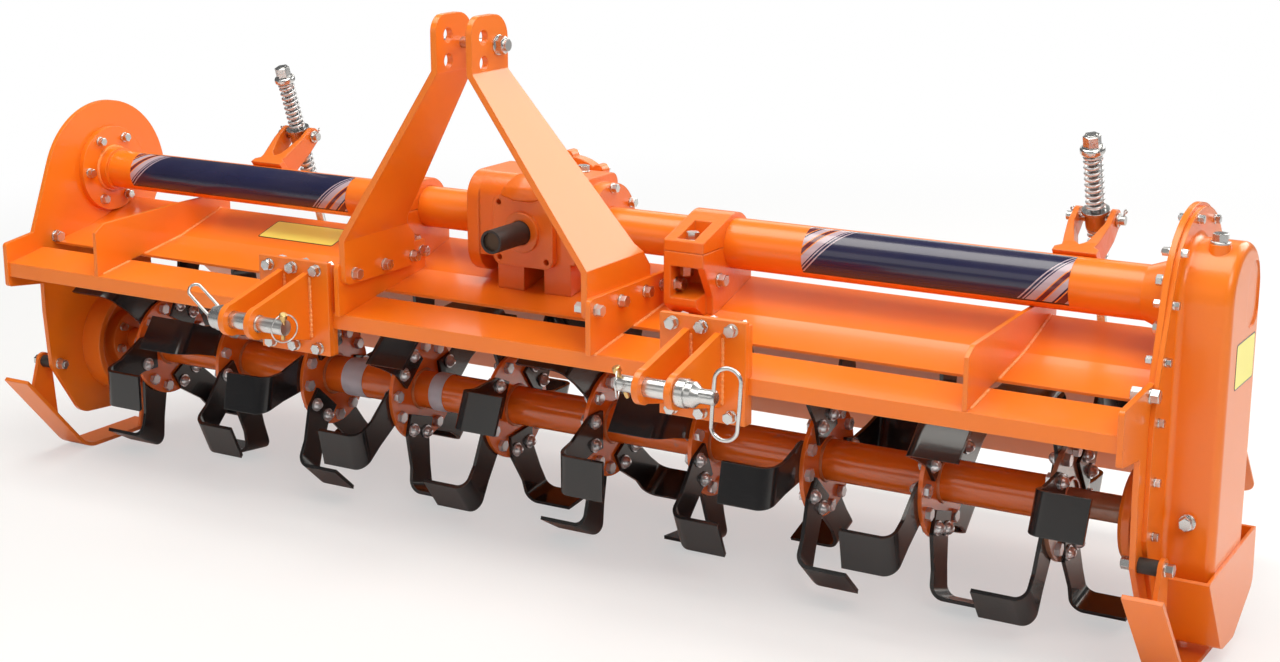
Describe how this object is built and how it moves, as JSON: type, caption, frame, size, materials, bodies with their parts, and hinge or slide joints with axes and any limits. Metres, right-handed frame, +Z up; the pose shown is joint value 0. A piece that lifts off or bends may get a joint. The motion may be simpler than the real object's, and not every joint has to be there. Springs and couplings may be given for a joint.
{
  "type": "rotavator",
  "caption": "Tractor-mounted rotary tiller with side gear drive, A-shaped hitch mast, L-shaped tines under a folded hood and a spring-held trailing board.",
  "frame": {"origin": "on the floor under the middle of the machine's width, below the common axis line of the rotor and the cross tube", "axes": "+X along the rotor towards the side gear case, -Y towards the tractor, +Z up"},
  "size_m": [2.53, 0.9758, 1.021],
  "materials": {
    "orange_paint": "glossy orange enamel",
    "tine_steel": "black paint on forged spring steel",
    "zinc_steel": "bright zinc plating",
    "black_cap": "matt black sleeve"
  },
  "bodies": {
    "frame": {"left_side_plate": "orange_paint", "gear_plate": "orange_paint", "front_beam": "orange_paint", "hood": "orange_paint", "hinge_rod": "zinc_steel", "hood_ribs": "orange_paint", "left_tube": "orange_paint", "right_tube": "orange_paint", "left_tube_flange": "orange_paint", "right_tube_flange": "orange_paint", "clamp_feet": "orange_paint", "clamp_caps": "orange_paint", "gearbox_housing": "orange_paint", "gearbox_front_cover": "orange_paint", "gearbox_rear_cover": "orange_paint", "gear_case": "orange_paint", "case_guard": "orange_paint", "left_hub": "orange_paint", "right_hub": "orange_paint", "mast_left_leg": "orange_paint", "mast_right_leg": "orange_paint", "mast_tie": "zinc_steel", "mast_feet": "orange_paint", "hitch_brackets": "orange_paint", "bracket_backs": "orange_paint", "hitch_pins": "zinc_steel", "left_skid": "orange_paint", "right_skid": "orange_paint", "skid_spacers": "black_cap", "left_fork": "orange_paint", "right_fork": "orange_paint"},
    "input_shaft": {"pto_shaft": "zinc_steel", "pto_cap": "black_cap"},
    "rotor": {"rotor_tube": "orange_paint", "right_hand_tines": "tine_steel", "left_hand_tines": "tine_steel"},
    "board": {"trailing_board": "orange_paint", "eye_pins": "zinc_steel"},
    "left_trunnion_body": {"left_trunnion": "zinc_steel", "left_upper_spring": "zinc_steel", "left_lower_spring": "zinc_steel"},
    "right_trunnion_body": {"right_trunnion": "zinc_steel", "right_upper_spring": "zinc_steel", "right_lower_spring": "zinc_steel"},
    "left_rod_body": {"left_rod": "zinc_steel"},
    "right_rod_body": {"right_rod": "zinc_steel"}
  },
  "joints": [
    {"name": "rotor_spin", "type": "hinge", "parent": "frame", "child": "rotor", "pos_m": [0, 0, 0.232], "axis": [1, 0, 0], "continuous": true},
    {"name": "input_spin", "type": "hinge", "parent": "frame", "child": "input_shaft", "pos_m": [-0.042, 0, 0.605], "axis": [0, 1, 0], "continuous": true},
    {"name": "board_hinge", "type": "hinge", "parent": "frame", "child": "board", "pos_m": [0, 0.12, 0.5], "axis": [1, 0, 0], "range_deg": [-12, 20]},
    {"name": "left_trunnion_pivot", "type": "hinge", "parent": "frame", "child": "left_trunnion_body", "pos_m": [-0.752, 0.119, 0.697], "axis": [1, 0, 0], "range_deg": [-2.8, 4.6]},
    {"name": "left_rod_slide", "type": "slide", "parent": "left_trunnion_body", "child": "left_rod_body", "axis": [0, -0.3056, 0.9521], "range_m": [-0.0134, 0.0222], "deforming": ["left_upper_spring", "left_lower_spring"]},
    {"name": "right_trunnion_pivot", "type": "hinge", "parent": "frame", "child": "right_trunnion_body", "pos_m": [0.973, 0.119, 0.697], "axis": [1, 0, 0], "range_deg": [-2.8, 4.6]},
    {"name": "right_rod_slide", "type": "slide", "parent": "right_trunnion_body", "child": "right_rod_body", "axis": [0, -0.3056, 0.9521], "range_m": [-0.0134, 0.0222], "deforming": ["right_upper_spring", "right_lower_spring"]}
  ],
  "couplings": [
    {"joint": "input_spin", "follows": "rotor_spin", "ratio": 2.6},
    {"joint": "left_trunnion_pivot", "follows": "board_hinge", "ratio": 0.2231},
    {"joint": "left_rod_slide", "follows": "board_hinge", "m_per_rad": 0.0631},
    {"joint": "right_trunnion_pivot", "follows": "board_hinge", "ratio": 0.2231},
    {"joint": "right_rod_slide", "follows": "board_hinge", "m_per_rad": 0.0631}
  ]
}
